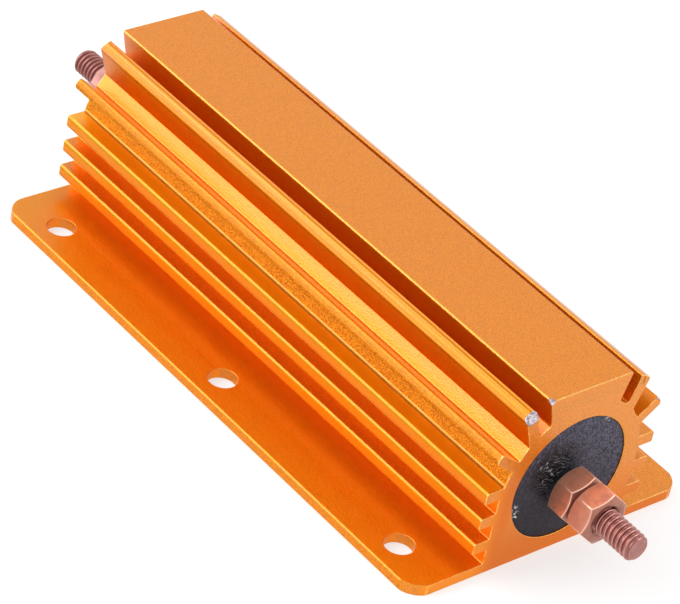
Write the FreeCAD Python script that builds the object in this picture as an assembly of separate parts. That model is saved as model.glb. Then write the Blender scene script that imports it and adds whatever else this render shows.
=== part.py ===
import FreeCAD, Part
import math
import os

# Aluminium housed wirewound resistor, a finned extrusion with a stud at either end
#
# X runs along the extrusion and the near end is at +X
# Y runs across the mounting flange
# Z points up from the mounting face
# All sizes are in millimetres

# Finned housing
body_length = 140.0
flange_width = 72.5
flange_thickness = 2.45
flange_corner = 5.5
body_height = 40.1
bore_radius = 14.4
bore_height = 17.65
wall_thickness = 3.9

# Mounting holes in the flange
hole_diameter = 6.4
hole_end_inset = 12.5
hole_side_inset = 6.75

# Straight fins on the sides
fin_thickness = 2.7
fin_reach = 3.7
fin_pitch = 6.33
lowest_groove = 3.6

# Leaning fins above them, placed by angles about the bore, and the middle block
upper_seat_angle = 45.8
upper_lean = 70.5
upper_reach = 25.45
upper_tip_drop = 0.45
middle_seat_angle = 27.6
middle_lean = 37.0
middle_reach = 24.5
middle_setback = 0.75
block_top_width = 21.7
block_waist_width = 18.2
tip_round = 0.8
root_round = 0.6
flange_round = 0.45

# Resistance element
element_drop = 2.35
element_shift = 1.4
core_radius = 8.5
core_inset = 17.0
wire_thickness = 0.8
cap_depth = 9.0
cap_floor = 1.2

# Terminal studs and their nuts
stud_diameter = 6.0
stud_reach = 22.4
stud_chamfer = 0.5
nut_across_flats = 10.3
nut_thickness = 5.7
nut_standoff = 0.4
nut_face_share = 0.88

# End seals
seal_depth = 6.0
seal_recess = 0.3
boss_radius = 4.0

# Sizes that follow from the ones above
half_length = body_length / 2
shell_radius = bore_radius + wall_thickness
side_half = shell_radius + 0.15
stud_radius = stud_diameter / 2
element_height = bore_height - element_drop
element_radius = core_radius + wire_thickness
core_length = body_length - 2 * core_inset
stud_length = core_inset - cap_floor + stud_reach
seal_face = half_length - seal_recess
seal_back = seal_face - seal_depth

along = FreeCAD.Vector(1, 0, 0)
bore_centre = FreeCAD.Vector(0, 0, bore_height)
element_centre = FreeCAD.Vector(-element_shift, 0, element_height)


# Helpers for round and straight bars along X

def rod(radius, start, end, height):
    base = FreeCAD.Vector(start, 0, height)
    return Part.makeCylinder(radius, end - start, base, along)


def bar(points):
    corners = [FreeCAD.Vector(-half_length, y, z) for y, z in points]
    face = Part.Face(Part.makePolygon(corners + corners[:1]))
    return face.extrude(FreeCAD.Vector(body_length, 0, 0))


def mirrored(shape):
    other = shape.mirror(FreeCAD.Vector(0, 0, 0), FreeCAD.Vector(0, 1, 0))
    return [shape, other]


def round_edges(solid, outside, radius):
    chosen = []
    for edge in solid.Edges:
        middle = edge.CenterOfMass
        lengthwise = abs(edge.BoundBox.XLength - body_length) < 0.01
        if lengthwise and outside(middle.y, middle.z):
            chosen.append(edge)
    return solid.makeFillet(radius, chosen)


# Housing

def side_fin(low):
    high = low + fin_thickness
    reach = side_half + fin_reach
    fin = bar([(0, low), (reach, low), (reach, high), (0, high)])
    return round_edges(fin, lambda y, z: y > side_half, tip_round)


def polar(angle, length):
    turn = math.radians(angle)
    return FreeCAD.Vector(0, length * math.cos(turn), length * math.sin(turn))


def leaning_fin(seat_angle, lean, reach, drop):
    # The bar starts inside the round shell and leans away from it, its outer side shorter by the drop
    start = bore_centre + polar(seat_angle, shell_radius)
    across = polar(lean - 90, fin_thickness / 2)
    root = start - polar(lean, wall_thickness * 0.7)
    tip = start + polar(lean, reach - shell_radius)
    points = [root - across, root + across, tip + across - polar(lean, drop), tip - across]
    return bar([(p.y, p.z) for p in points]), tip


def upper_fin():
    fin, tip = leaning_fin(upper_seat_angle, upper_lean, upper_reach, upper_tip_drop)
    return round_edges(fin, lambda y, z: z > tip.z - fin_thickness, tip_round)


def middle_fin():
    fin, tip = leaning_fin(middle_seat_angle, middle_lean, middle_reach, 0)
    limit = side_half + fin_reach - middle_setback
    side = Part.makeBox(body_length, limit * 2, body_height)
    side.translate(FreeCAD.Vector(-half_length, -limit, 0))
    fin = fin.common(side)
    return round_edges(fin, lambda y, z: y > tip.y - fin_thickness / 2, tip_round)


def middle_block():
    top = block_top_width / 2
    neck = block_waist_width / 2
    waist = bore_height + math.sqrt(shell_radius ** 2 - neck ** 2)
    block = bar([(-neck, waist), (neck, waist), (top, body_height), (-top, body_height)])
    block = round_edges(block, lambda y, z: z > body_height - 0.01, tip_round)
    root = bar([(-neck, bore_height), (neck, bore_height), (neck, waist), (-neck, waist)])
    return block.fuse(root)


def flange():
    # The long edges are rounded by the die, and the corners are cut square to the face
    half = flange_width / 2
    plate = bar([(-half, 0), (half, 0), (half, flange_thickness), (-half, flange_thickness)])
    plate = round_edges(plate, lambda y, z: z > flange_thickness / 2, flange_round)
    blank = Part.makeBox(body_length, flange_width, flange_thickness)
    blank.translate(FreeCAD.Vector(-half_length, -half, 0))
    corners = [e for e in blank.Edges if e.BoundBox.ZLength > flange_thickness / 2]
    return plate.common(blank.makeFillet(flange_corner, corners))


def mounting_holes():
    x = half_length - hole_end_inset
    y = flange_width / 2 - hole_side_inset
    holes = []
    for px in (-x, 0, x):
        for py in (-y, y):
            base = FreeCAD.Vector(px, py, -1)
            holes.append(Part.makeCylinder(hole_diameter / 2, flange_thickness + 2, base))
            rim = FreeCAD.Vector(px, py, flange_thickness - 0.2)
            holes.append(Part.makeCone(hole_diameter / 2, hole_diameter / 2 + 0.4, 0.4, rim))
    return holes


def bore():
    return rod(bore_radius, -half_length - 1, half_length + 1, bore_height)


def chip(corner, outward, lengths):
    # A flat knock across a corner, with the length that it takes off along each axis
    normal = FreeCAD.Vector(*[way / length for way, length in zip(outward, lengths)])
    depth = 1 / normal.Length
    side = 4 * max(lengths)
    block = Part.makeBox(side, side, side, FreeCAD.Vector(-side / 2, -side / 2, -depth))
    turn = FreeCAD.Rotation(FreeCAD.Vector(0, 0, 1), normal)
    block.Placement = FreeCAD.Placement(corner, turn)
    return block


def fin_corner(seat_angle, lean, reach, across, side):
    # Point on a leaning fin's tip at the near end, a little off the fin's middle
    corner = bore_centre + polar(seat_angle, shell_radius)
    corner += polar(lean - 90, across) + polar(lean, reach - shell_radius)
    return FreeCAD.Vector(half_length, side * corner.y, corner.z)


def chips():
    block_corner = FreeCAD.Vector(half_length, -block_top_width / 2, body_height)
    fin_tip = fin_corner(upper_seat_angle, upper_lean, upper_reach - upper_tip_drop, fin_thickness / 2, -1)
    return [
        chip(block_corner, (1, -1, 1), (2.4, 1.4, 1.6)),
        chip(fin_tip, (1, -1, 1), (1.5, 5.0, 1.5)),
    ]


def round_roots(body):
    # Slots between the fins and the block end in small fillets on the round shell
    chosen = []
    for edge in body.Edges:
        middle = edge.CenterOfMass
        away = math.hypot(middle.y, middle.z - bore_height)
        lengthwise = abs(edge.BoundBox.XLength - body_length) < 0.01
        if lengthwise and abs(away - shell_radius) < 0.01 and middle.z > bore_height + shell_radius / 2:
            chosen.append(edge)
    return body.makeFillet(root_round, chosen)


def housing():
    shell = rod(shell_radius, -half_length, half_length, bore_height)
    above = bar([(-shell_radius, 0), (shell_radius, 0), (shell_radius, body_height), (-shell_radius, body_height)])
    shell = shell.common(above)
    trunk = bar([(-side_half, 0), (side_half, 0), (side_half, bore_height), (-side_half, bore_height)])
    pieces = [trunk, flange(), middle_block()]
    low = flange_thickness + lowest_groove
    for step in range(3):
        pieces += mirrored(side_fin(low + step * fin_pitch))
    pieces += mirrored(middle_fin())
    pieces += mirrored(upper_fin())
    body = round_roots(shell.fuse(pieces).removeSplitter())
    return body.cut([bore()] + mounting_holes() + chips())


# Resistance element, on its own axis a little below that of the bore

def ceramic_core():
    start = element_centre.x - core_length / 2
    return rod(core_radius, start, start + core_length, element_height)


def winding():
    half = core_length / 2 - cap_depth
    start = element_centre.x - half
    end = element_centre.x + half
    outer = rod(element_radius, start, end, element_height)
    return outer.cut(rod(core_radius, start, end, element_height))


def cap_span(side):
    inner = element_centre.x + side * (core_length / 2 - cap_depth)
    outer = element_centre.x + side * (core_length / 2 + cap_floor)
    return min(inner, outer), max(inner, outer)


def end_cap(side):
    start, end = cap_span(side)
    return rod(element_radius, start, end, element_height).cut(ceramic_core())


# Terminal studs, each butt welded to its cap

def stud_root(side):
    return element_centre.x + side * (core_length / 2 + cap_floor)


def stud_tip(side):
    return stud_root(side) + side * stud_length


def stud(side):
    root = FreeCAD.Vector(stud_root(side), 0, element_height)
    shank = Part.makeCylinder(stud_radius, stud_length, root, along * side)
    rim = [e for e in shank.Edges if abs(e.CenterOfMass.x - stud_tip(side)) < 0.01]
    return shank.makeChamfer(stud_chamfer, rim)


# Hexagon nuts, two locked against each other on each stud

def nut(side, place, turn):
    seat = half_length + nut_standoff
    if side < 0:
        seat += 2 * element_shift
    start = seat + place * nut_thickness
    corner = nut_across_flats / math.sqrt(3)
    points = []
    for step in range(7):
        angle = math.radians(turn + 60 * step)
        points.append(FreeCAD.Vector(0, corner * math.cos(angle), corner * math.sin(angle)))
    hexagon = Part.Face(Part.makePolygon(points)).extrude(FreeCAD.Vector(nut_thickness, 0, 0))
    face_radius = nut_across_flats / 2 * nut_face_share
    rim_radius = corner + 0.5
    drop = (rim_radius - face_radius) * math.tan(math.radians(30))
    profile = [(0, 0), (0, face_radius), (drop, rim_radius)]
    profile += [(nut_thickness - drop, rim_radius), (nut_thickness, face_radius), (nut_thickness, 0)]
    outline = [FreeCAD.Vector(x, r, 0) for x, r in profile]
    turned = Part.Face(Part.makePolygon(outline + outline[:1]))
    turned = turned.revolve(FreeCAD.Vector(0, 0, 0), along, 360)
    hole = Part.makeCylinder(stud_radius, nut_thickness, FreeCAD.Vector(0, 0, 0), along)
    body = hexagon.common(turned).cut(hole)
    left = start if side > 0 else -start - nut_thickness
    body.translate(FreeCAD.Vector(left, 0, element_height))
    return body


# Black end seals, each raised a little around its stud

def end_seal(side):
    back = FreeCAD.Vector(side * seal_back, 0, bore_height)
    plug = Part.makeCylinder(bore_radius, seal_depth, back, along * side)
    foot = FreeCAD.Vector(side * seal_face, 0, element_height)
    rise = half_length + nut_standoff - seal_face
    boss = Part.makeCone(boss_radius + rise, boss_radius, rise, foot, along * side)
    hole = rod(stud_radius, -body_length, body_length, element_height)
    return plug.fuse(boss).removeSplitter().cut(hole)


# Filling between the element and the bore

def filling():
    left, right = cap_span(-1)[0], cap_span(1)[1]
    body = rod(bore_radius, -seal_back, seal_back, bore_height)
    body = body.cut(rod(stud_radius, -seal_back, seal_back, element_height))
    return body.cut(rod(element_radius, left, right, element_height))


parts = {
    "housing": housing(),
    "end_seal_near": end_seal(1),
    "end_seal_far": end_seal(-1),
    "stud_near": stud(1),
    "stud_far": stud(-1),
    "inner_nut_near": nut(1, 0, 18),
    "outer_nut_near": nut(1, 1, 16.5),
    "inner_nut_far": nut(-1, 0, 10),
    "outer_nut_far": nut(-1, 1, 43),
    "ceramic_core": ceramic_core(),
    "resistance_winding": winding(),
    "end_cap_near": end_cap(1),
    "end_cap_far": end_cap(-1),
    "filling": filling(),
}

os.makedirs("parts", exist_ok=True)
for name, shape in parts.items():
    shape.exportStep("parts/" + name + ".step")
    box = shape.BoundBox
    sizes = (box.XLength, box.YLength, box.ZLength)
    print(name, shape.isValid(), len(shape.Solids), len(shape.Faces), "%.1f x %.1f x %.1f" % sizes)
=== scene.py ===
# %% [markdown]
# # A finned resistor in gold anodised aluminium
# This lesson dresses a long aluminium housed resistor. Its solids come from the CAD model, which is
# loaded as a fixed frame, and every piece made here sits exactly where the frame has it. X runs along
# the extrusion, Y across the mounting flange and Z up from the mounting face. Blender works in metres,
# and the sizes of this small object are easier to read in millimetres, so they are written that way
# and scaled once by MM.

# %% Load the frame
import bpy
import bmesh
import math
from mathutils import Vector, Matrix, noise


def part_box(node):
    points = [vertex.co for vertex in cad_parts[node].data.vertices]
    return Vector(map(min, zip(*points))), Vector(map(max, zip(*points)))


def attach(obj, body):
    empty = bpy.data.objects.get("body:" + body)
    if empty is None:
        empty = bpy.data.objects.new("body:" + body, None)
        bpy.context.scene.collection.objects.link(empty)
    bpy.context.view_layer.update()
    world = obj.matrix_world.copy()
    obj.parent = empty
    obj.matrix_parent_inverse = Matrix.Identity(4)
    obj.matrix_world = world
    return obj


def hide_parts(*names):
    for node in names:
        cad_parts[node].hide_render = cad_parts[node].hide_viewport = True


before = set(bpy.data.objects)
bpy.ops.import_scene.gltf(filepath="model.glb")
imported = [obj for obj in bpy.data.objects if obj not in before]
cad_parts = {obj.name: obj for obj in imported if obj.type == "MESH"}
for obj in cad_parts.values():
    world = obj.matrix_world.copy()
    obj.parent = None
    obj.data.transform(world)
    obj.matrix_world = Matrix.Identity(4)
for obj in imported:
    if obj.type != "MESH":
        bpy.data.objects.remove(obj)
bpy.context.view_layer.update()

scene = bpy.context.scene
MM = 0.001
print("nodes:", ", ".join(sorted(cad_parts)))

# %% [markdown]
# ## Sizes read from the frame
# The frame is measured once, so that every new mesh follows the CAD model. The ends of the housing,
# the bore and the studs give all that the new meshes share.

# %% Measure the frame
def millimetres(name):
    low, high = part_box(name)
    return low / MM, high / MM


END, EDGE, TOP = millimetres("housing")[1]
SEAL_LOW, SEAL_HIGH = millimetres("end_seal_near")
STUD_LOW, STUD_HIGH = millimetres("stud_near")
BORE_R = (SEAL_HIGH.y - SEAL_LOW.y) / 2
BORE_Z = (SEAL_HIGH.z + SEAL_LOW.z) / 2
STUD_Z = (STUD_HIGH.z + STUD_LOW.z) / 2
print("end face at %.2f mm, bore radius %.2f mm at height %.2f mm, stud axis at %.2f mm"
      % (END, BORE_R, BORE_Z, STUD_Z))

# %% [markdown]
# ## Levels of the extrusion
# The finish changes from one part of the section to the next, so both the mesh and the material need
# to know where the parts lie. These are heights above the mounting face, apart from the thickness of
# a fin and the two distances from the middle, WALL for the fins' roots and REACH for their tips.

# %% Levels
FLANGE = 2.45
FIN_LOWS = (6.05, 12.38, 18.71)
FIN_THICK = 2.7
WALL = 18.45
REACH = 22.15
STEP_TOP = 21.4
MOTTLED = 25.9
LEAN_TIP = 30.2
UPPER_TIP = 37.2
print(len(FIN_LOWS), "straight fins a side, from", WALL, "to", REACH, "mm off the middle")

# %% [markdown]
# ## The camera first
# A product photograph is taken from some distance with a long lens, which keeps parallel edges nearly
# parallel. We place the camera before anything else, because the grain and the edge roundings are
# chosen for how large they look from there. The camera here is tipped a little about its own axis.

# %% Camera
CAMERA_AT = Vector((0.41460, -0.42887, 0.43365))
LOOK = Vector((-0.56825, 0.58670, -0.57695)).normalized()
ROLL_RIGHT = Vector((0.61503, 0.76864, 0.17587)).normalized()

lens = bpy.data.cameras.new("camera")
lens.lens = 187.1
lens.sensor_width = 36.0
lens.clip_start = 0.02
lens.clip_end = 30.0
camera = bpy.data.objects.new("camera", lens)
scene.collection.objects.link(camera)
side = (ROLL_RIGHT - LOOK * ROLL_RIGHT.dot(LOOK)).normalized()
over = side.cross(LOOK)
turn = Matrix((side, over, -LOOK)).transposed()
camera.matrix_world = Matrix.Translation(CAMERA_AT) @ turn.to_4x4()
scene.camera = camera
print("camera %.0f mm lens, %.2f m from the part" % (lens.lens, CAMERA_AT.length))

# %% [markdown]
# ## Helpers for materials
# Every finish is a node tree. A small helper keeps the wiring short: it makes a node, sets its
# properties and fills or links its inputs in one line. A colour is written with three numbers.

# %% Node helpers
def feed(tree, socket, value):
    if isinstance(value, bpy.types.NodeSocket):
        tree.links.new(value, socket)
    elif socket.type == "RGBA":
        socket.default_value = (*value, 1.0)
    else:
        socket.default_value = value


def node(tree, kind, inputs=None, **settings):
    made = tree.nodes.new(kind)
    for key, value in settings.items():
        setattr(made, key, value)
    for key, value in (inputs or {}).items():
        feed(tree, made.inputs[key], value)
    return made


def math_node(tree, operation, first, second=0.0, third=0.0):
    made = node(tree, "ShaderNodeMath", {0: first, 1: second, 2: third}, operation=operation)
    return made.outputs[0]


def times(tree, first, *others):
    for other in others:
        first = math_node(tree, "MULTIPLY", first, other)
    return first


def times_plus(tree, value, factor, extra):
    return math_node(tree, "MULTIPLY_ADD", value, factor, extra)


def largest(tree, first, *others):
    for other in others:
        first = math_node(tree, "MAXIMUM", first, other)
    return first


def size_of(tree, value):
    return math_node(tree, "ABSOLUTE", value)


def vector_node(tree, operation, first, second=(0, 0, 0)):
    made = node(tree, "ShaderNodeVectorMath", {0: first, 1: second}, operation=operation)
    number = operation in ("LENGTH", "DISTANCE", "DOT_PRODUCT")
    return made.outputs["Value" if number else "Vector"]


def split(tree, vector):
    return node(tree, "ShaderNodeSeparateXYZ", {0: vector}).outputs


print("wiring helpers ready")

# %% [markdown]
# Most of what a finish shows depends on place: how high a point lies, how far from the middle, which
# way it faces. So a mask is nearly always a ramp from 0 to 1 between two distances in millimetres, or
# a band, which is 1 near one level and fades to 0 on both sides of it.

# %% Mask helpers
def ramp(tree, value, low, high, to_low=0.0, to_high=1.0):
    made = node(tree, "ShaderNodeMapRange", {"Value": value, "From Min": low, "From Max": high,
                                             "To Min": to_low, "To Max": to_high})
    return made.outputs[0]


def band(tree, value, middle, outer, inner, strength=1.0):
    away = size_of(tree, math_node(tree, "SUBTRACT", value, middle))
    return ramp(tree, away, outer, inner, 0.0, strength)


def from_axis(tree, at, height):
    centred = vector_node(tree, "SUBTRACT", at, (0, 0, height))
    return vector_node(tree, "LENGTH", vector_node(tree, "MULTIPLY", centred, (0, 1, 1)))


def mix_colours(tree, factor, first, second):
    made = node(tree, "ShaderNodeMix", {0: factor, 6: first, 7: second}, data_type="RGBA")
    return made.outputs[2]


def noise_node(tree, place, scale, detail=2.0, roughness=0.5):
    return node(tree, "ShaderNodeTexNoise", {"Vector": place, "Scale": scale, "Detail": detail,
                                             "Roughness": roughness}).outputs["Fac"]


def normal_of(tree):
    return node(tree, "ShaderNodeNewGeometry").outputs["Normal"]


print("mask helpers ready")

# %% [markdown]
# A material starts with its shader and with each point's own place, which is in metres and feeds the
# noises. The masks use the same place in millimetres. Effects that several finishes share are node
# groups.

# %% Material helpers
def new_material(name):
    made = bpy.data.materials.new(name)
    made.use_nodes = True
    tree = made.node_tree
    return made, tree, node(tree, "ShaderNodeTexCoord").outputs["Object"]


def in_millimetres(tree, place):
    return vector_node(tree, "MULTIPLY", place, (1 / MM, 1 / MM, 1 / MM))


def dress(tree, inputs):
    for key, value in inputs.items():
        feed(tree, tree.nodes["Principled BSDF"].inputs[key], value)


def add_relief(tree, height, strength, depth):
    bump = node(tree, "ShaderNodeBump", {"Strength": strength, "Distance": depth, "Height": height})
    dress(tree, {"Normal": bump.outputs[0]})


def new_group(name, inputs, outputs):
    tree = bpy.data.node_groups.new(name, "ShaderNodeTree")
    for label, kind, value in inputs:
        socket = tree.interface.new_socket(name=label, in_out="INPUT", socket_type=kind)
        if value is not None:
            socket.default_value = value
    for label, kind in outputs:
        tree.interface.new_socket(name=label, in_out="OUTPUT", socket_type=kind)
    start = tree.nodes.new("NodeGroupInput")
    end = tree.nodes.new("NodeGroupOutput")
    return tree, start.outputs, end.inputs


def use_group(tree, group, **inputs):
    made = tree.nodes.new("ShaderNodeGroup")
    made.node_tree = group
    for key, value in inputs.items():
        feed(tree, made.inputs[key.replace("_", " ")], value)
    return made.outputs


print("material helpers ready")

# %% [markdown]
# ## Blasted grain
# Before it is anodised the extrusion is blasted, which leaves fine pits a few tenths of a millimetre
# across. The same grain, at other sizes, is in the poured seals and on the plated nuts. One noise at
# the pit size and a slower one that makes it patchy give the height, and the same pattern tints the
# colour a little, so it belongs in a node group that each finish uses with its own values.

# %% Grain group
PATCHES_PER_METRE = 160.0

grain, g_in, g_out = new_group(
    "fine_grain",
    [("Place", "NodeSocketVector", None), ("Size mm", "NodeSocketFloat", 0.3),
     ("Patchiness", "NodeSocketFloat", 0.4), ("Contrast", "NodeSocketFloat", 1.0)],
    [("Height", "NodeSocketFloat"), ("Tint", "NodeSocketFloat")])
per_metre = math_node(grain, "DIVIDE", 1 / MM, g_in["Size mm"])
pits = noise_node(grain, g_in["Place"], per_metre, 2.0, 0.55)
slow = noise_node(grain, g_in["Place"], PATCHES_PER_METRE)
depth = math_node(grain, "ADD", 1.0, times(grain, slow, g_in["Patchiness"]))
height = times(grain, math_node(grain, "SUBTRACT", pits, 0.5), depth)
grain.links.new(height, g_out["Height"])
tint = times_plus(grain, times(grain, height, g_in["Contrast"]), 2.2, 0.5)
grain.links.new(node(grain, "ShaderNodeClamp", {"Value": tint}).outputs[0], g_out["Tint"])
print("group", grain.name, "has", len(grain.nodes), "nodes")

# %% [markdown]
# ## Edge mask
# Handling rubs a finish thin along the arrises, where it looks paler and shines more, and the finishes
# also paint their edge highlights there, so this mask carries both wear and painted highlight. The
# Bevel node gives the normal that a rounded edge would have, and where that differs from the true
# normal there is an edge. A noise breaks the band up. The mask is a value, so it can be a group.

# %% Edge group
SPECKS_PER_METRE = 900.0
EDGE_GAIN = 14.0

edges, e_in, e_out = new_group(
    "edge_wear_and_highlight",
    [("Place", "NodeSocketVector", None), ("Width mm", "NodeSocketFloat", 0.4),
     ("Amount", "NodeSocketFloat", 1.0)],
    [("Mask", "NodeSocketFloat")])
rounded = node(edges, "ShaderNodeBevel", {"Radius": times(edges, e_in["Width mm"], MM)}, samples=4)
meet = vector_node(edges, "DOT_PRODUCT", rounded.outputs["Normal"], normal_of(edges))
strong = times(edges, math_node(edges, "SUBTRACT", 1.0, meet), EDGE_GAIN)
speck = noise_node(edges, e_in["Place"], SPECKS_PER_METRE, 3.0, 0.6)
mask = times(edges, strong, times(edges, speck, e_in["Amount"]))
edges.links.new(node(edges, "ShaderNodeClamp", {"Value": mask}).outputs[0], e_out["Mask"])
print("group", edges.name, "has", len(edges.nodes), "nodes")

# %% [markdown]
# ## Gold anodised aluminium
# The film on the metal is clear and dyed, so the metal under it shines through as a coloured
# reflection. A metallic base in orange does that, and light that bounces from fin to fin takes the
# colour twice, which gives most of the deep red in the slots; faces that look down also get a painted
# shade tone further on. A soft coat stands for the sealed surface of the film. First come the values
# that all the masks of this finish are made from.

# %% Places on the housing
anodised, tree, place = new_material("gold_anodised")
at = in_millimetres(tree, place)
fine = use_group(tree, grain, Place=place, Size_mm=0.26, Patchiness=0.5, Contrast=1.3)
along, across, high = (split(tree, at)[axis] for axis in "XYZ")
from_end, from_middle = size_of(tree, along), size_of(tree, across)
facing = split(tree, normal_of(tree))
facing_end = size_of(tree, facing["X"])
facing_up = largest(tree, facing["Z"], facing_end)
inside_ends = ramp(tree, from_end, END - 0.1, END - 0.5)
at_tip = band(tree, high, UPPER_TIP, 1.3, 1.1)
sideways = times(tree, largest(tree, ramp(tree, facing_up, 0.80, 0.70), at_tip), inside_ends)
print(anodised.name, "knows places and directions")

# %% [markdown]
# Several layers change the film's colour. The foot of the sawn end is painted deeper, a painted shade
# for the shadowed floor that it mirrors; the die drew fine lines along the upper fin's tip; faces that
# look down get a yellower tone of painted shade; the top of the third fin, in the leaning fin's shade,
# is painted brighter, a painted light; and near the far end the walls of the upper slots are paler.
# Each of these is a layer, a mask with a colour, and the layers are laid over the film one by one at the
# end.

# %% First layers
layers = []


def paint(mask, colour):
    layers.append((mask, colour))


# painted shade: the foot of the sawn end is painted darker, standing in for the shadowed floor it mirrors
wall_end_painted_shade = times(tree, ramp(tree, high, 26.0, 20.0), ramp(tree, across, -12.5, -15.0),
                 ramp(tree, across, -21.5, -18.5))
low_end_painted_shade = times(tree, largest(tree, ramp(tree, high, 17.0, 5.0), wall_end_painted_shade),
                ramp(tree, facing_end, 0.80, 0.95))
paint(low_end_painted_shade, mix_colours(tree, ramp(tree, across, -20.5, -16.5), (0.95, 0.285, 0.004),
                           (0.80, 0.188, 0.003)))

drawn = vector_node(tree, "MULTIPLY", place, (14.0, 2600.0, 2600.0))
lines = noise_node(tree, drawn, 1.0, 2.0, 0.6)
streaks = mix_colours(tree, ramp(tree, lines, 0.36, 0.62), (0.60, 0.170, 0.002), (0.90, 0.315, 0.006))
paint(times(tree, at_tip, 0.75), streaks)

# painted shade: faces that look down get a yellower shaded tone of the film
paint(ramp(tree, facing["Z"], -0.08, -0.22, 0.0, 0.8), (0.77, 0.310, 0.008))
# painted light: the top of the third fin, shaded by the leaning fin, is painted brighter
step_top_painted_light = times(tree, band(tree, high, STEP_TOP, 0.4, 0.2), ramp(tree, facing["Z"], 0.80, 0.93),
                 ramp(tree, across, 2.0, -2.0), inside_ends)
paint(step_top_painted_light, (1.0, 0.45, 0.005))
pale_end = times(tree, ramp(tree, along, -61.0, -70.0), ramp(tree, high, 29.6, 30.6),
                 ramp(tree, facing_up, 0.80, 0.60, 0.0, 0.85))
paint(pale_end, (0.74, 0.250, 0.16))
print(len(layers), "layers so far")

# %% [markdown]
# The slot beside the leaning fin and the top of the flange look up to the lamps, and their colour is
# painted to grow lighter and yellower towards the near end, a painted highlight. The top of the leaning
# fin looks into the slot and is painted deep, a painted shade.

# %% Slot, flange and leaning fin
# painted highlight: the slot floor and the flange top grow lighter and yellower towards the near end
slot_floor_painted_highlight = times(tree, ramp(tree, high, 29.1, 27.6, 0.0, 0.75), ramp(tree, from_middle, 15.8, 15.6),
                   ramp(tree, facing["Z"], 0.40, 0.50), sideways)
paint(slot_floor_painted_highlight, mix_colours(tree, ramp(tree, along, -70.0, -5.0), (0.64, 0.29, 0.012),
                              (0.68, 0.445, 0.045)))
flange_top_painted_light = times(tree, ramp(tree, high, 3.0, 2.6, 0.0, 0.7), ramp(tree, facing["Z"], 0.60, 0.90),
                   ramp(tree, across, 20.0, 10.0))
paint(flange_top_painted_light, mix_colours(tree, ramp(tree, along, 0.0, 70.0), (0.84, 0.285, 0.004),
                              (0.88, 0.325, 0.005)))
# painted shade: the top of the leaning fin, looking into the slot, is painted deep
lean_top_painted_shade = times(tree, ramp(tree, from_middle, 15.7, 16.0), ramp(tree, from_middle, 20.3, 19.9),
                 ramp(tree, high, 26.6, 27.0), ramp(tree, high, 31.2, 30.8),
                 ramp(tree, facing["Z"], 0.55, 0.72, 0.0, 0.8))
paint(lean_top_painted_shade, (0.62, 0.175, 0.002))
print(len(layers), "layers so far")

# %% [markdown]
# The wall under the leaning fin is painted with a coarse mottled tone, darker overall: partly a
# random grain and partly a painted shade under the fin. The leaning fin's own tip above it is painted
# duller, a painted shade that tones down its highlight.

# %% Mottled wall
coarse = use_group(tree, grain, Place=place, Size_mm=0.27, Patchiness=1.0, Contrast=1.9)
mottling = times(tree, band(tree, high, MOTTLED, 5.0, 3.8), ramp(tree, from_middle, 16.0, 16.4), sideways)
# painted shade: the leaning fin's tip is painted duller to tone down its highlight
lean_tip_painted_shade = times(tree, band(tree, high, LEAN_TIP, 1.3, 1.0, 0.8), ramp(tree, from_middle, 18.6, 19.0),
                 inside_ends)
# mottled tone: random coarse grain, darker overall as a painted shade under the leaning fin
mottled = mix_colours(tree, coarse["Tint"], (0.42, 0.114, 0.003), (0.80, 0.312, 0.010))
paint(times(tree, mottling, 0.95), mottled)
paint(times(tree, lean_tip_painted_shade, 0.6), (0.72, 0.225, 0.003))
print("wall mottled from", MOTTLED - 5.0, "to", MOTTLED + 5.0, "mm")

# %% [markdown]
# Lines run the whole length: two dark die lines on the upper fin's tip; at the foot of the mottled
# wall a pale painted highlight over a dark painted shade in the root; and on each straight fin a
# darker line near its upper edge and a dark line of painted shade along its lower edge, where it hides
# that edge's reflection. The sealed coat is thin wherever a line or the mottling is, or the line would
# shine like its surroundings.

# %% Lines along the extrusion
coat_losses = [mottling, lean_tip_painted_shade, times(tree, lean_top_painted_shade, 0.5)]


def paint_line(mask, strength, colour, coat_loss):
    line = times(tree, mask, strength)
    paint(line, colour)
    coat_losses.append(times(tree, line, coat_loss))


for line_at, darkness in ((14.40, 0.95), (15.88, 0.60)):
    on_tip = times(tree, band(tree, from_middle, line_at, 0.26, 0.14), at_tip)
    paint_line(on_tip, darkness, (0.40, 0.13, 0.005), 1.3)
# at the foot of the mottled wall: a pale painted highlight and a dark painted shade in the root
for line_at, reach, colour in ((21.90, 0.24, (1.0, 0.66, 0.20)), (21.50, 0.18, (0.15, 0.032, 0.001))):
    foot_highlight_and_shade = times(tree, band(tree, high, line_at, reach, 0.4 * reach),
                    ramp(tree, from_middle, 18.30, 18.15), inside_ends)
    paint_line(foot_highlight_and_shade, 0.85, colour, 1.53)
# on each straight fin: a darker line near the upper edge, and a painted shade along the lower edge over its
# reflection
for low in FIN_LOWS:
    for above, reach, strength, colour in ((0.12, 0.46, 0.85, (0.58, 0.160, 0.003)),
                                           (2.14, 0.36, 0.80, (0.57, 0.275, 0.006))):
        on_edge = times(tree, band(tree, high, low + above, reach, 0.5 * reach),
                        ramp(tree, from_middle, 21.4, 21.7), inside_ends)
        paint_line(on_edge, strength, colour, 1.5)
print(len(coat_losses) - 3, "lines a side")

# %% [markdown]
# Edges that look up are painted paler, partly rubbed wear and mostly a painted highlight, and so is
# the block's top edge. The saw left a broken arris round both ends, less round the bore, and it gets a
# brighter, yellower painted highlight. Where a corner was knocked off, rough bare metal shows.

# %% Worn edges and knocked corners
KNOCKS = [
    (Vector((END + 0.62, -11.92, TOP + 0.93)), 2.35),
    (Vector((END + 1.87, -15.70, TOP - 1.03)), 3.5),
    (Vector((END + 0.45, 20.83, TOP - 8.94)), 1.2),
]

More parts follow.
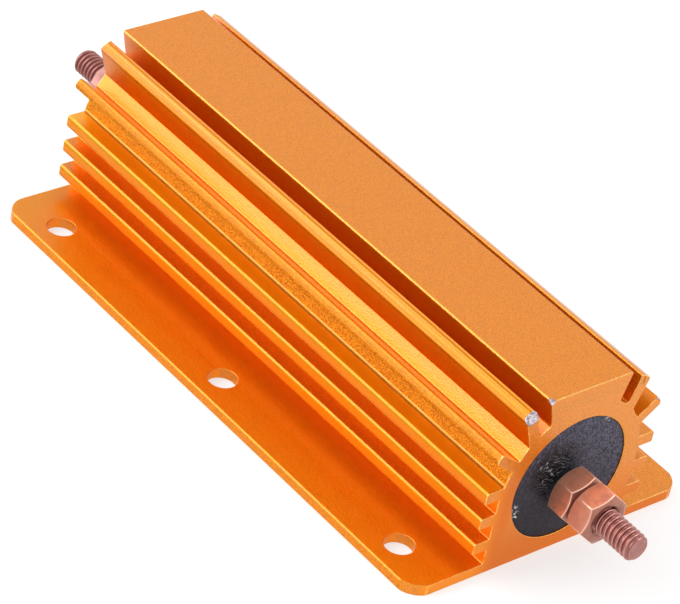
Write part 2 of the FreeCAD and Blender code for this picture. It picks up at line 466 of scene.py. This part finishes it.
rub_and_highlight = use_group(tree, edges, Place=place, Width_mm=0.24, Amount=1.2)
turned_up = largest(tree, ramp(tree, facing["Z"], 0.05, 0.35), ramp(tree, high, 39.2, 39.5))
off_bore = from_axis(tree, at, BORE_Z)
saw_edge = times(tree, ramp(tree, from_end, END - 0.30, END - 0.22), ramp(tree, facing_end, 0.985, 0.93),
                 ramp(tree, noise_node(tree, place, 1100.0), 0.30, 0.62),
                 ramp(tree, off_bore, BORE_R + 0.35, BORE_R + 0.6, 0.35, 1.0))
block_edge = times(tree, ramp(tree, high, 39.2, 39.7, 0.0, 0.5), ramp(tree, facing_up, 0.80, 0.70))
# painted highlight, partly wear: edges that look up, the block's top edge and the saw edge are painted
# paler
bright = largest(tree, times(tree, rub_and_highlight["Mask"], turned_up), saw_edge, block_edge)
paint(bright, (0.93, 0.43, 0.07))
# painted highlight: the saw edge gets a brighter, yellower colour
paint(saw_edge, (1.0, 0.58, 0.17))

bare = 0.0
ragged = noise_node(tree, place, 1500.0, 3.0, 0.6)
for spot, reach in KNOCKS:
    edge = times_plus(tree, ragged, -0.4, vector_node(tree, "DISTANCE", at, spot))
    bare = largest(tree, bare, ramp(tree, edge, reach + 0.02, reach - 0.10))
scars = ramp(tree, noise_node(tree, place, 1050.0, 3.0, 0.6), 0.36, 0.62)
paint(bare, mix_colours(tree, scars, (0.28, 0.20, 0.23), (0.84, 0.78, 0.84)))
print(len(KNOCKS), "knocked corners")

# %% [markdown]
# Last, the layers are laid over the film and the values go into the shader. The coat is strong on
# faces that look up and on the ends, weak on the fins' sides, and gone where a face looks down.

# %% Anodised shader
film = mix_colours(tree, fine["Tint"], (0.67, 0.198, 0.003), (0.94, 0.306, 0.009))
for mask, colour in layers:
    film = mix_colours(tree, mask, film, colour)
no_coat = largest(tree, *coat_losses)
sealed = times(tree, ramp(tree, facing_up, 0.1, 0.55, 0.25, 0.74), ramp(tree, no_coat, 0.0, 1.3, 1.0, 0.15),
               ramp(tree, flange_top_painted_light, 0.0, 1.0, 1.0, 0.70), ramp(tree, low_end_painted_shade, 0.0, 1.0, 1.0, 0.45),
               ramp(tree, facing["Z"], -0.30, -0.02))
dress(tree, {
    "Base Color": film,
    "Metallic": 1.0,
    "Roughness": times_plus(tree, bright, -0.14, times_plus(tree, fine["Tint"], 0.12, 0.37)),
    "Specular Tint": (1.0, 0.90, 0.70),
    "Coat Weight": sealed,
    "Coat Roughness": 0.22,
})
chipped = times(tree, bare, times(tree, noise_node(tree, place, 2600.0, 4.0), 4.0))
relief = math_node(tree, "ADD", fine["Height"], chipped)
relief = times_plus(tree, times(tree, coarse["Height"], mottling), 2.4, relief)
add_relief(tree, times_plus(tree, lines, 0.25, relief), 0.9, 0.00009)
print("material", anodised.name, "has", len(tree.nodes), "nodes")

# %% [markdown]
# ## Black potting
# Both ends of the bore are closed with a black filled compound. Its skin is matt with a fine grain,
# and it is painted paler towards the upper side that faces the light, a painted light. Where it slumped
# beside the stud it dried wrinkled and glossier; it is painted darker there, partly a painted shade of
# the nut, and its pale crests are painted glints: the wrinkles are in the mesh, and Pointiness finds
# their crests. Flecks of aluminium from the bore stick to the rim.

# %% Black finish
SLUMP = Vector((END - 0.3, -4.6, 21.0))
FLECKS = [Vector((END - 0.3, y, z)) for y, z in ((-12.5, 12.4), (-13.3, 14.2), (7.5, 29.9))]

potting, tree, place = new_material("black_potting")
at = in_millimetres(tree, place)
fine = use_group(tree, grain, Place=place, Size_mm=0.38, Patchiness=0.8, Contrast=1.7)
lumps = use_group(tree, grain, Place=place, Size_mm=0.9, Patchiness=0.5, Contrast=1.0)
upward = times_plus(tree, split(tree, at)["Y"], 0.8, split(tree, at)["Z"])
# painted light: the potting is painted paler towards its upper side
painted_upper_light = ramp(tree, times_plus(tree, lumps["Tint"], 4.0, upward), 4.0, 36.0)
low_tone = mix_colours(tree, fine["Tint"], (0.014, 0.013, 0.016), (0.044, 0.038, 0.052))
high_tone = mix_colours(tree, fine["Tint"], (0.024, 0.022, 0.032), (0.148, 0.140, 0.200))
matt = mix_colours(tree, painted_upper_light, low_tone, high_tone)
from_slump = vector_node(tree, "DISTANCE", at, SLUMP)
# painted shade, partly: the slumped patch is painted darker near the nut and made glossier
slumped_patch = ramp(tree, times_plus(tree, lumps["Tint"], 3.0, from_slump), 9.2, 5.2)
# painted highlight: pale crests stand in for glints
painted_glint_crest = ramp(tree, node(tree, "ShaderNodeNewGeometry").outputs["Pointiness"], 0.510, 0.552)
wrinkle_skin_with_glints = mix_colours(tree, painted_glint_crest, (0.003, 0.003, 0.004), (0.250, 0.260, 0.300))
black = mix_colours(tree, slumped_patch, matt, wrinkle_skin_with_glints)
fleck = largest(tree, *(ramp(tree, vector_node(tree, "DISTANCE", at, spot), 1.3, 0.5) for spot in FLECKS))
fleck = times(tree, fleck, ramp(tree, noise_node(tree, place, 1700.0, 2.0, 0.6), 0.56, 0.62))
dress(tree, {
    "Base Color": mix_colours(tree, fleck, black, (0.80, 0.78, 0.78)),
    "Metallic": fleck,
    "Roughness": times_plus(tree, slumped_patch, -0.24, times_plus(tree, fine["Tint"], 0.15, 0.48)),
    "Specular IOR Level": 0.20,
})
add_relief(tree, fine["Height"], 0.9, 0.00026)
print("material", potting.name, "has", len(tree.nodes), "nodes")

# %% [markdown]
# ## Copper plated steel
# Studs and nuts are plated with copper that has dulled to a pinkish brown. The edges are paler,
# partly worn and partly a painted highlight, and the plating is darker in the clouds of tarnish. The
# nuts' turned ends and cones are painted darker brown, a painted shade for the gap between the two
# nuts; the outer near nut's flats that face -Y are darker; and the threads are darker in their roots,
# whose depth is read from the distance to the stud's own axis. The far set is painted darker and made
# rougher, a painted shade that tones down the key lamp's reflection in it.

# %% Copper finish
def copper(name, clean, dull, edge, share, size, thread_darkening, metallic, smooth):
    made, tree, place = new_material(name)
    at = in_millimetres(tree, place)
    bright = 1 - thread_darkening
    fine = use_group(tree, grain, Place=place, Size_mm=size, Patchiness=0.6, Contrast=1.2)
    rub_and_highlight = use_group(tree, edges, Place=place, Width_mm=0.42, Amount=3.0)
    facing = split(tree, normal_of(tree))
    facing_end = size_of(tree, facing["X"])
    cloud = ramp(tree, noise_node(tree, place, 420.0, 4.0, 0.65), 0.35, 0.65, 0.0, share)
    level = times_plus(tree, fine["Tint"], 0.12, cloud)
    base = mix_colours(tree, level, clean, dull)
    # the outer near nut's flats that face -Y are darker
    outer_left_flats = times(tree, ramp(tree, facing["Y"], -0.70, -0.92),
                    ramp(tree, split(tree, at)["X"], 75.6, 76.2, 0.0, 0.7 * bright))
    base = mix_colours(tree, outer_left_flats, base, (0.52, 0.235, 0.17))
    # painted highlight, partly wear: the edges are paler
    worn_and_highlit = mix_colours(tree, rub_and_highlight["Mask"], base, edge)
    # painted shade: turned ends and cones are painted darker, for the gap between the nuts
    turned_end_painted_shade = ramp(tree, facing_end, 0.66, 0.74, 0.0, 0.75 * bright)
    worn_and_highlit = mix_colours(tree, turned_end_painted_shade, worn_and_highlit, (0.29, 0.11, 0.085))
    # the threads are darker in their roots
    in_thread = times(tree, ramp(tree, from_axis(tree, at, STUD_Z), 2.9, 2.5),
                      ramp(tree, facing_end, 0.97, 0.94, 0.0, thread_darkening))
    dress(tree, {
        "Base Color": mix_colours(tree, in_thread, worn_and_highlit, (0.27, 0.10, 0.085)),
        "Metallic": metallic,
        "Roughness": times_plus(tree, rub_and_highlight["Mask"], -0.12, times_plus(tree, level, 0.20, smooth)),
    })
    add_relief(tree, fine["Height"], 0.3, 0.00003)
    return made


near_nut_copper = copper("copper_nut", (1.0, 0.43, 0.27), (0.60, 0.215, 0.14), (1.0, 0.72, 0.58),
                         share=0.75, size=0.22, thread_darkening=0.0, metallic=0.70, smooth=0.26)
near_stud_copper = copper("copper_stud", (0.52, 0.24, 0.22), (0.37, 0.145, 0.125), (0.62, 0.32, 0.28),
                          share=0.6, size=0.18, thread_darkening=0.7, metallic=0.95, smooth=0.30)
# painted shade: the far set is a darker copy of the copper, toning down the key lamp's reflection in it
far_nut_copper_shaded = copper("copper_nut_far_shaded", (0.43, 0.21, 0.19), (0.31, 0.14, 0.125), (0.52, 0.32, 0.30),
                        share=0.6, size=0.18, thread_darkening=0.4, metallic=0.85, smooth=0.46)
far_stud_copper_shaded = copper("copper_stud_far_shaded", (0.42, 0.20, 0.185), (0.30, 0.125, 0.11), (0.42, 0.22, 0.20),
                         share=0.6, size=0.18, thread_darkening=0.5, metallic=0.90, smooth=0.46)
print("copper for near and far nuts and studs ready")

# %% [markdown]
# ## Finishes inside the housing
# The element is never seen on a whole resistor, and it still gets its own finishes, so that an opened
# view of the part reads as what it is: a cream ceramic rod, dark oxidised wire, plain steel caps and a
# grey cement full of fine sand.

# %% Inner finishes
def speckled(name, low, high, size, metallic, smooth, depth, contrast=1.0):
    made, tree, place = new_material(name)
    fine = use_group(tree, grain, Place=place, Size_mm=size, Patchiness=0.5, Contrast=contrast)
    dress(tree, {
        "Base Color": mix_colours(tree, fine["Tint"], low, high),
        "Metallic": metallic,
        "Roughness": times_plus(tree, fine["Tint"], 0.15, smooth),
    })
    add_relief(tree, fine["Height"], 0.6, depth)
    return made


cream_ceramic = speckled("cream_ceramic", (0.70, 0.66, 0.56), (0.82, 0.79, 0.70), 0.5, 0.0, 0.45, 0.00004)
oxidised_wire = speckled("oxidised_wire", (0.16, 0.15, 0.14), (0.33, 0.31, 0.29), 0.3, 1.0, 0.38, 0.00003)
cap_steel = speckled("cap_steel", (0.46, 0.45, 0.43), (0.60, 0.59, 0.57), 0.4, 1.0, 0.30, 0.00003)
sand_cement = speckled("sand_cement", (0.33, 0.32, 0.30), (0.62, 0.60, 0.56), 0.45, 0.0, 0.75, 0.00015, 1.5)
print("four inner finishes ready")

# %% [markdown]
# ## Helpers for meshes
# Nearly everything on this object is either drawn along a line or turned about one, so one helper is
# enough for all of it: a mesh made of rings of points, each joined to the next. It is closed with two
# end faces, or bent round so that the last ring meets the first.

# %% Ring meshes
def link_mesh(name, mesh):
    piece = bpy.data.objects.new(name, mesh)
    scene.collection.objects.link(piece)
    return piece


def ring_mesh(name, rings, loop=False):
    count = len(rings[0])
    points = [tuple(Vector(p) * MM) for ring in rings for p in ring]
    faces = []
    spans = len(rings) if loop else len(rings) - 1
    for row in range(spans):
        after = (row + 1) % len(rings)
        for k in range(count):
            m = (k + 1) % count
            faces.append((row * count + k, row * count + m, after * count + m, after * count + k))
    if not loop:
        faces.append(tuple(reversed(range(count))))
        faces.append(tuple((len(rings) - 1) * count + k for k in range(count)))
    mesh = bpy.data.meshes.new(name)
    mesh.from_pydata(points, [], faces)
    work = bmesh.new()
    work.from_mesh(mesh)
    bmesh.ops.recalc_face_normals(work, faces=work.faces)
    work.to_mesh(mesh)
    work.free()
    return link_mesh(name, mesh)


def circle(x, radius, height, count):
    steps = [2 * math.pi * k / count for k in range(count)]
    return [(x, radius * math.cos(angle), height + radius * math.sin(angle)) for angle in steps]


print("ring helper ready")

# %% [markdown]
# A curved mesh is shaded smooth and stays sharp where two faces meet at more than a given angle. Every
# finished piece then gets its material and its place in the frame, and says whether it is closed.

# %% Finishing pieces
def smooth_to(piece, degrees):
    piece.data.shade_smooth()
    piece.data.set_sharp_from_angle(angle=math.radians(degrees))


def even_shading(piece, degrees):
    smooth_to(piece, degrees)
    weigh = piece.modifiers.new("even_shading", "WEIGHTED_NORMAL")
    weigh.keep_sharp = True
    weigh.weight = 60


def put_on(material, piece):
    piece.data.materials.clear()
    piece.data.materials.append(material)


def finish_piece(piece, material, node_name):
    put_on(material, piece)
    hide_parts(node_name)
    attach(piece, "root")
    work = bmesh.new()
    work.from_mesh(piece.data)
    gaps = sum(1 for e in work.edges if not e.is_manifold)
    print(piece.name, len(work.faces), "faces,", gaps, "open edges")
    work.free()


print("finishing helpers ready")

# %% [markdown]
# ## The housing's section
# The housing is an extrusion: one section drawn through a die, cut to length and drilled. So it is
# made as the real one is, from its section. Each corner is written with the radius that the die gives
# it, and a helper turns the corners into short arcs. Only one half is written, and the other is its
# mirror image.

# %% Rounded corners
ARC_STEPS = 6


def soften(corners):
    points = []
    for k, (y, z, radius) in enumerate(corners):
        here = Vector((y, z))
        if radius == 0:
            points.append(here)
            continue
        back = (Vector(corners[k - 1][:2]) - here).normalized()
        ahead = (Vector(corners[k + 1][:2]) - here).normalized()
        half = math.acos(max(-1.0, min(1.0, back.dot(ahead)))) / 2
        inset = radius / math.tan(half)
        centre = here + (back + ahead).normalized() * radius / math.sin(half)
        first = here + back * inset - centre
        last = here + ahead * inset - centre
        sweep = math.pi - 2 * half
        for step in range(ARC_STEPS + 1):
            a = math.sin((1 - step / ARC_STEPS) * sweep) / math.sin(sweep)
            b = math.sin(step / ARC_STEPS * sweep) / math.sin(sweep)
            points.append(centre + first * a + last * b)
    return points


print("each corner becomes", ARC_STEPS + 1, "points")

# %% [markdown]
# The list below goes round the half section from the middle of the mounting face to the middle of the
# top. The third fin's top runs in to the round shell about the bore, which carries the wall up to the
# leaning fin. The upper fin leans away from the block, and the block is narrower at its waist than at
# its top.

# %% Section of the housing
TIP, ROOT, FILLET = 0.6, 0.25, 0.6
SHELL_R = 18.3
SHELL_START = 17.91

section = [(0, 0, 0), (EDGE, 0, 0.35), (EDGE, FLANGE, 0.42), (WALL, FLANGE, 0.4)]
for low in FIN_LOWS:
    last_one = low == FIN_LOWS[-1]
    section += [(WALL, low, ROOT), (REACH, low, 0.30), (REACH, low + FIN_THICK, TIP),
                (SHELL_START if last_one else WALL, low + FIN_THICK, ROOT)]
for degrees in (15, 19):
    turn = math.radians(degrees)
    section.append((SHELL_R * math.cos(turn), BORE_Z + SHELL_R * math.sin(turn), 0))
section += [
    (16.81, 24.88, ROOT), (21.40, 28.34, TIP), (21.40, 29.30, TIP), (20.45, 30.55, TIP),  # leaning fin
    (15.60, 27.05, 0.4), (13.76, 29.90, 0.4),  # slot
    (16.24, 36.95, TIP), (13.70, 38.38, 0.35),  # upper fin
    (11.67, 31.745, FILLET), (9.10, 33.53, FILLET),  # groove
    (10.85, TOP, 0.42), (0, TOP, 0),  # block
]
half = soften(section)
outline = half + [Vector((-p.x, p.y)) for p in reversed(half[1:-1])]
print("section has", len(outline), "points")

# %% [markdown]
# The saw cuts the ends square and the blasting softens the cut edge, so the last quarter of a
# millimetre is rounded: three rings, each moved inwards by a little more than the one before. The
# inward direction at a point is the mean of its two neighbouring sides' normals.

# %% Extrude the housing
SAW_EDGE = 0.25


def moved_in(loop, distance):
    moved = []
    for k, here in enumerate(loop):
        before = (here - loop[k - 1]).normalized()
        after = (loop[(k + 1) % len(loop)] - here).normalized()
        first = Vector((-before.y, before.x))
        second = Vector((-after.y, after.x))
        inward = (first + second).normalized()
        moved.append(here + inward * distance / max(0.5, inward.dot(first)))
    return moved


rings = []
for side_of, degrees in ((-1, 90), (-1, 45), (-1, 0), (1, 0), (1, 45), (1, 90)):
    turn = math.radians(degrees)
    loop = moved_in(outline, SAW_EDGE * (1 - math.cos(turn)))
    x = side_of * (END - SAW_EDGE * (1 - math.sin(turn)))
    rings.append([(x, p.x, p.y) for p in loop])
housing = ring_mesh("finned_housing", rings)
print("housing extruded with", len(housing.data.polygons), "faces")

# %% [markdown]
# ## Cutting the bore, the holes and the corners
# Drilling is a boolean: a tool shape is taken away from the solid. The tools are turned shapes whose
# profile flares where they leave the metal, and the flare leaves the broken edge that a countersink
# gives. The flange's corners are cut by a tool with an inner arc, and the knocks by rough lumps.

# %% Tools
def turned(name, profile, axis, centre, count):
    rings = []
    for radius, reach in profile:
        ring = []
        for k in range(count):
            angle = 2 * math.pi * k / count
            u, v = radius * math.cos(angle), radius * math.sin(angle)
            ring.append((reach, u, v) if axis == "X" else (u, v, reach))
        rings.append([Vector(p) + Vector(centre) for p in ring])
    return ring_mesh(name, rings)


CORNER_R = 5.5
CORNER_IN = 5.45
ARC_POINTS = 17


def corner_tool(sx, sy):
    rings = []
    for z, flare in ((-1.0, 0.0), (FLANGE - 0.28, 0.0), (FLANGE - 0.08, 0.08), (FLANGE, 0.28), (4.0, 0.28)):
        ring = []
        for k in range(ARC_POINTS):
            angle = math.pi / 2 * k / (ARC_POINTS - 1)
            arm = CORNER_IN - (CORNER_R - flare) * math.cos(angle)
            rise = CORNER_IN - (CORNER_R - flare) * math.sin(angle)
            ring.append((END - arm, EDGE - rise))
        ring += [(END - CORNER_IN, EDGE + 2), (END + 2, EDGE + 2), (END + 2, EDGE - CORNER_IN)]
        rings.append([(sx * x, sy * y, z) for x, y in ring])
    return ring_mesh("corner_tool", rings)


def lump(centre, radius, seed):
    mesh = bpy.data.meshes.new("lump")
    work = bmesh.new()
    bmesh.ops.create_icosphere(work, subdivisions=6, radius=1.0)
    for vert in work.verts:
        way = vert.co.normalized()
        spot = way * radius + Vector((seed, 0, 0))
        rough = noise.noise(spot * 1.7) * 0.10 + noise.noise(spot * 4.5) * 0.05
        vert.co = (way * (radius + rough) + centre) * MM
    work.to_mesh(mesh)
    work.free()
    return link_mesh("lump", mesh)


print("tool shapes ready")

# %% [markdown]
# The bore runs right through. The six holes stand in two rows, near the corners and at the middle of
# the flange, and their edges are broken on both faces.

# %% Place the tools
HOLE_R = 3.2
HOLE_X = END - 12.5
HOLE_Y = EDGE - 6.75

flares = [(BORE_R + 0.22, -END - 0.5), (BORE_R + 0.22, -END), (BORE_R, -END + 0.18)]
flares += [(r, -x) for r, x in reversed(flares)]
tools = [turned("bore_tool", flares, "X", (0, 0, BORE_Z), 160)]
drill = [(HOLE_R + 0.1, -0.6), (HOLE_R + 0.1, 0.0), (HOLE_R, 0.1), (HOLE_R, FLANGE - 0.12),
         (HOLE_R + 0.04, FLANGE - 0.04), (HOLE_R + 0.12, FLANGE), (HOLE_R + 0.12, 4.0)]
for hole_x in (-HOLE_X, 0, HOLE_X):
    for hole_y in (-HOLE_Y, HOLE_Y):
        tools.append(turned("drill", drill, "Z", (hole_x, hole_y, 0), 56))
tools += [corner_tool(sx, sy) for sx in (-1, 1) for sy in (-1, 1)]
print(len(tools), "tools")

# %% [markdown]
# All tools are taken away in one go, and the lumps in a second, so that the knocks cut metal that is
# already drilled. The result is kept as a plain mesh, and the tools are thrown away.

# %% Cut
def cut_away(piece, cutters):
    for tool in cutters:
        take = piece.modifiers.new("cut", "BOOLEAN")
        take.operation = "DIFFERENCE"
        take.solver = "EXACT"
        take.object = tool
    bpy.context.view_layer.update()
    graph = bpy.context.evaluated_depsgraph_get()
    result = bpy.data.meshes.new_from_object(piece.evaluated_get(graph))
    piece.modifiers.clear()
    piece.data = result
    for tool in cutters:
        bpy.data.objects.remove(tool)


cut_away(housing, tools)
cut_away(housing, [lump(spot, reach, 3.1 * k) for k, (spot, reach) in enumerate(KNOCKS)])
even_shading(housing, 40.0)
finish_piece(housing, anodised, "housing")

# %% [markdown]
# ## The end seals
# A seal is a poured plug, so its face isn't flat: it draws down a hair at the rim, creeps up the stud
# under the nut, and wrinkles where it skinned over before it set. The wrinkles are the ridges of two
# noises that are stretched along the folds.

# %% Wrinkles
WRINKLED_R = 7.0


def ridge(along, over, seed):
    return 0.5 - abs(noise.noise(Vector((along, over, seed))))


def wrinkle(y, z, seed, slump):
    spot = Vector((y, z, seed))
    grainy = noise.noise(spot * 3.1) * 0.030 + noise.noise(spot * 0.5) * 0.05
    near = max(0.0, 1 - (Vector((y, z)) - slump).length / WRINKLED_R)
    if near <= 0:
        return grainy
    along = 0.95 * y - 0.30 * z
    over = 0.30 * y + 0.95 * z + noise.noise(spot * 0.40)
    folds = 0.40 * ridge(along * 0.36, over * 1.8, seed) + 0.20 * ridge(along * 0.8, over * 2.7, seed + 5)
    return grainy + (folds - 0.28) * min(1.0, near * 1.9)


print("folds reach", WRINKLED_R, "mm from the slump")

# %% [markdown]
# The face is a grid of rings that change from the small circle round the stud to the large one of the
# bore, and every point is moved by a little. Two rings further in close the sides and the back.

# %% Seal meshes
SUNK = 0.3
SEAL_DEPTH = 6.0
STUD_HOLE_R = 3.02
COLLAR_R, COLLAR_HEIGHT, COLLAR_WIDTH = 4.3, 0.66, 0.40
DIP_DEPTH, DIP_WIDTH = 0.16, 0.22
SEAL_RINGS, SEAL_SIDES = 110, 256


def seal(name, side_of, seed, slump):
    face = END - SUNK
    outer_r = BORE_R - 0.02
    inner_circle = circle(0, STUD_HOLE_R, STUD_Z, SEAL_SIDES)
    outer_circle = circle(0, outer_r, BORE_Z, SEAL_SIDES)
    rings = []
    for row in range(SEAL_RINGS + 1):
        ring = []
        for inner, outer in zip(inner_circle, outer_circle):
            spot = Vector(inner[1:]).lerp(Vector(outer[1:]), row / SEAL_RINGS)
            from_stud = (spot - Vector((0, STUD_Z))).length
            climb = COLLAR_HEIGHT / (1 + (max(0.0, from_stud - COLLAR_R) / COLLAR_WIDTH) ** 2.2)
            rim = BORE_R - (spot - Vector((0, BORE_Z))).length
            dip = DIP_DEPTH * math.exp(-rim / DIP_WIDTH)
            fade = min(1.0, rim / 0.3) * min(1.0, max(0.0, from_stud - 4.6) / 0.8)
            x = face + climb - dip + wrinkle(spot.x, spot.y, seed, slump) * fade
            ring.append((side_of * x, spot.x, spot.y))
        rings.append(ring)
    back = side_of * (face - SEAL_DEPTH)
    rings.append(circle(back, outer_r, BORE_Z, SEAL_SIDES))
    rings.append(circle(back, STUD_HOLE_R, STUD_Z, SEAL_SIDES))
    made = ring_mesh(name, rings, loop=True)
    smooth_to(made, 60)
    return made


near_seal = seal("near_seal", 1, 4.2, Vector((SLUMP.y, SLUMP.z)))
finish_piece(near_seal, potting, "end_seal_near")
far_seal = seal("far_seal", -1, 11.7, Vector((3.5, 21.5)))
finish_piece(far_seal, potting, "end_seal_far")

# %% [markdown]
# ## The threaded studs
# A thread is one groove wound along a rod. The rod is a fine grid of rings, and each point's radius
# comes from where it is in the thread's profile: its place along the rod, less the share of a turn
# that its angle stands for. The groove fades in beyond the seal and runs out on a short cone at the
# tip, as a rolled thread does.

# %% Stud meshes
PITCH = 1.14
THREAD = 0.56
STUD_R = 2.99
TIP_R = 2.42
TIP_SLOPE = 0.9
PLAIN = 8.0
RUN_IN = 3.0
STUD_SIDES = 72
RINGS_PER_TURN = 14


def thread_radius(x, angle):
    place = (x / PITCH - angle / (2 * math.pi)) % 1.0
    rise = abs(place - 0.5) * 2
    level = max(0.0, min(1.0, (rise - 0.18) / 0.70))
    return STUD_R - THREAD * (1 - level * level * (3 - 2 * level))


def stud(name, node_name, side_of, phase):
    low, high = millimetres(node_name)
    root, tip = (low.x, high.x) if side_of > 0 else (-high.x, -low.x)
    begin = root + PLAIN
    steps = int((tip - begin) / PITCH * RINGS_PER_TURN)
    radii = [(root, [STUD_R] * STUD_SIDES)]
    for step in range(steps + 1):
        x = begin + (tip - begin) * step / steps
        fade = min(1.0, (x - begin) / RUN_IN)
        row = []
        for k in range(STUD_SIDES):
            cut = STUD_R - thread_radius(x - begin, 2 * math.pi * k / STUD_SIDES + phase)
            row.append(min(STUD_R - cut * fade, TIP_R + (tip - x) * TIP_SLOPE))
        radii.append((x, row))
    radii += [(tip, [TIP_R * share] * STUD_SIDES) for share in (0.97, 0.7, 0.35)]
    rings = []
    for x, row in radii:
        angles = [2 * math.pi * k / STUD_SIDES for k in range(STUD_SIDES)]
        rings.append([(side_of * x, r * math.cos(angle), STUD_Z + r * math.sin(angle))
                      for angle, r in zip(angles, row)])
    made = ring_mesh(name, rings)
    smooth_to(made, 50)
    return made


near_stud = stud("near_stud", "stud_near", 1, 0.9)
finish_piece(near_stud, near_stud_copper, "stud_near")
far_stud = stud("far_stud", "stud_far", -1, 2.3)
finish_piece(far_stud, far_stud_copper_shaded, "stud_far")

# %% [markdown]
# ## The nuts
# A hexagon nut is a bar cut to length whose ends are turned to a cone, which leaves the curved lines
# where the flats stop. The section through the wall is the same all round but for the hexagon's own
# radius, so the nut is a ring mesh too: the cone starts at a fixed radius and runs down until it meets
# the flat. A Bevel modifier then breaks every edge a little.

# %% Nut meshes
TO_FLAT = 5.15
FACE_R = 4.53
NUT_HOLE_R, RIM_R, RIM_DEPTH = 3.0, 3.7, 0.6
CONE = math.tan(math.radians(30))


def nut(name, node_name, turn):
    low, high = millimetres(node_name)
    thick = high.x - low.x
    rings = [[] for _ in range(8)]
    for degrees in range(0, 360, 6):
        hexagon = TO_FLAT / math.cos(math.radians((degrees % 60) - 30))
        drop = (hexagon - FACE_R) * CONE
        profile = [(RIM_DEPTH, NUT_HOLE_R), (0.0, RIM_R), (0.0, FACE_R), (drop, hexagon)]
        profile += [(thick - reach, radius) for reach, radius in reversed(profile)]
        angle = math.radians(degrees + turn)
        for ring, (reach, radius) in zip(rings, profile):
            ring.append((low.x + reach, radius * math.cos(angle), STUD_Z + radius * math.sin(angle)))
    made = ring_mesh(name, rings, loop=True)
    broken = made.modifiers.new("broken_edges", "BEVEL")
    broken.width = 0.14 * MM
    broken.segments = 2
    broken.limit_method = "ANGLE"
    broken.angle_limit = math.radians(18)
    even_shading(made, 50.0)
    return made


for name, node_name, turn, material in (("near_inner_nut", "inner_nut_near", 18, near_nut_copper),
                                        ("near_outer_nut", "outer_nut_near", 16.5, near_nut_copper),
                                        ("far_inner_nut", "inner_nut_far", 10, far_nut_copper_shaded),
                                        ("far_outer_nut", "outer_nut_far", 43, far_nut_copper_shaded)):
    finish_piece(nut(name, node_name, turn), material, node_name)

# %% [markdown]
# ## The wound element
# Inside, the resistance wire is wound on the ceramic rod turn beside turn. The wire is one tube that
# follows a helix, so it is a ring mesh again, with a ring of eight points at every step of the way. The
# rod, the caps and the cement keep their CAD shapes, which are right as they are.

# %% Winding
WIRE_R = 0.4
WIRE_PITCH = 1.15
STEPS_PER_TURN = 24

low, high = millimetres("resistance_winding")
axis_z = (low.z + high.z) / 2
coil_r = (high.z - low.z) / 2 - WIRE_R
length = high.x - low.x - 2 * WIRE_R
steps = int(length / WIRE_PITCH) * STEPS_PER_TURN
rings = []
for step in range(steps + 1):
    angle = 2 * math.pi * step / STEPS_PER_TURN
    x = low.x + WIRE_R + length * step / steps
    ring = []
    for k in range(8):
        around = 2 * math.pi * k / 8
        radius = coil_r + WIRE_R * math.cos(around)
        ring.append((x + WIRE_R * math.sin(around), radius * math.cos(angle),
                     axis_z + radius * math.sin(angle)))
    rings.append(ring)
wire = ring_mesh("wound_wire", rings)
wire.data.shade_smooth()
finish_piece(wire, oxidised_wire, "resistance_winding")

# %% [markdown]
# The four inner pieces that stay as they are only need their finishes. Their meshes are the frame's own,
# so nothing else about them is touched.

# %% Finishes on the nodes that stay
for name, material in (("ceramic_core", cream_ceramic), ("end_cap_near", cap_steel),
                       ("end_cap_far", cap_steel), ("filling", sand_cement)):
    put_on(material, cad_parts[name])
print("inner nodes dressed")

# %% [markdown]
# ## The studio
# Small metal parts are photographed on white paper under large soft lamps. The paper is grey for the
# light that falls on it, so that it doesn't flood the part, and it glows only for rays that come from
# the camera or from a mirror-like or clear surface, which see it white. The lamps stay at a plain
# level.

# %% Floor
floor_mesh = bpy.data.meshes.new("studio_floor")
floor_mesh.from_pydata([(-6, -6, 0), (6, -6, 0), (6, 6, 0), (-6, 6, 0)], [], [(0, 1, 2, 3)])
studio_floor = link_mesh("studio_floor", floor_mesh)
paper, tree, place = new_material("white_paper")
fibre = noise_node(tree, place, 40.0, 3.0)
rays = node(tree, "ShaderNodeLightPath").outputs
seen = largest(tree, rays["Is Camera Ray"], rays["Is Glossy Ray"], rays["Is Transmission Ray"])
dress(tree, {
    "Base Color": mix_colours(tree, fibre, (0.41, 0.41, 0.41), (0.43, 0.43, 0.43)),
    "Roughness": 0.9,
    "Specular IOR Level": 0.1,
    "Emission Color": (1, 1, 1),
    "Emission Strength": times(tree, seen, 0.58),
})
put_on(paper, studio_floor)
print("paper laid")

# %% [markdown]
# The sky is an even white dome a touch below full strength, which fills the shadows between the fins.

# %% World
world = bpy.data.worlds.new("studio")
scene.world = world
world.use_nodes = True
sky = world.node_tree.nodes["Background"]
sky.inputs["Color"].default_value = (1, 1, 1, 1)
sky.inputs["Strength"].default_value = 0.97
print("world ready")

# %% [markdown]
# One large lamp stands on the left and is mirrored by the faces that lean towards it, which gives the
# bright bands along the fins. A smaller one on the right lifts the edges and the end face.

# %% Lamps
def softbox(name, direction, distance, size, radiance):
    lamp = bpy.data.lights.new(name, "AREA")
    lamp.shape = "RECTANGLE"
    lamp.size, lamp.size_y = size
    lamp.energy = radiance * math.pi * size[0] * size[1]
    made = bpy.data.objects.new(name, lamp)
    scene.collection.objects.link(made)
    way = Vector(direction).normalized()
    aimed = way.to_track_quat("Z", "Y").to_matrix().to_4x4()
    made.matrix_world = Matrix.Translation(way * distance) @ aimed


softbox("key_box", (-0.57, -0.57, 0.53), 1.3, (1.25, 1.25), 2.7)
softbox("rim_box", (0.57, 0.59, 0.57), 1.6, (0.7, 0.7), 3.0)
print("lamps set")

# %% [markdown]
# ## Last settings
# The view transform is plain, so that a colour renders as it is written.

# %% Finish
scene.view_settings.view_transform = "Standard"
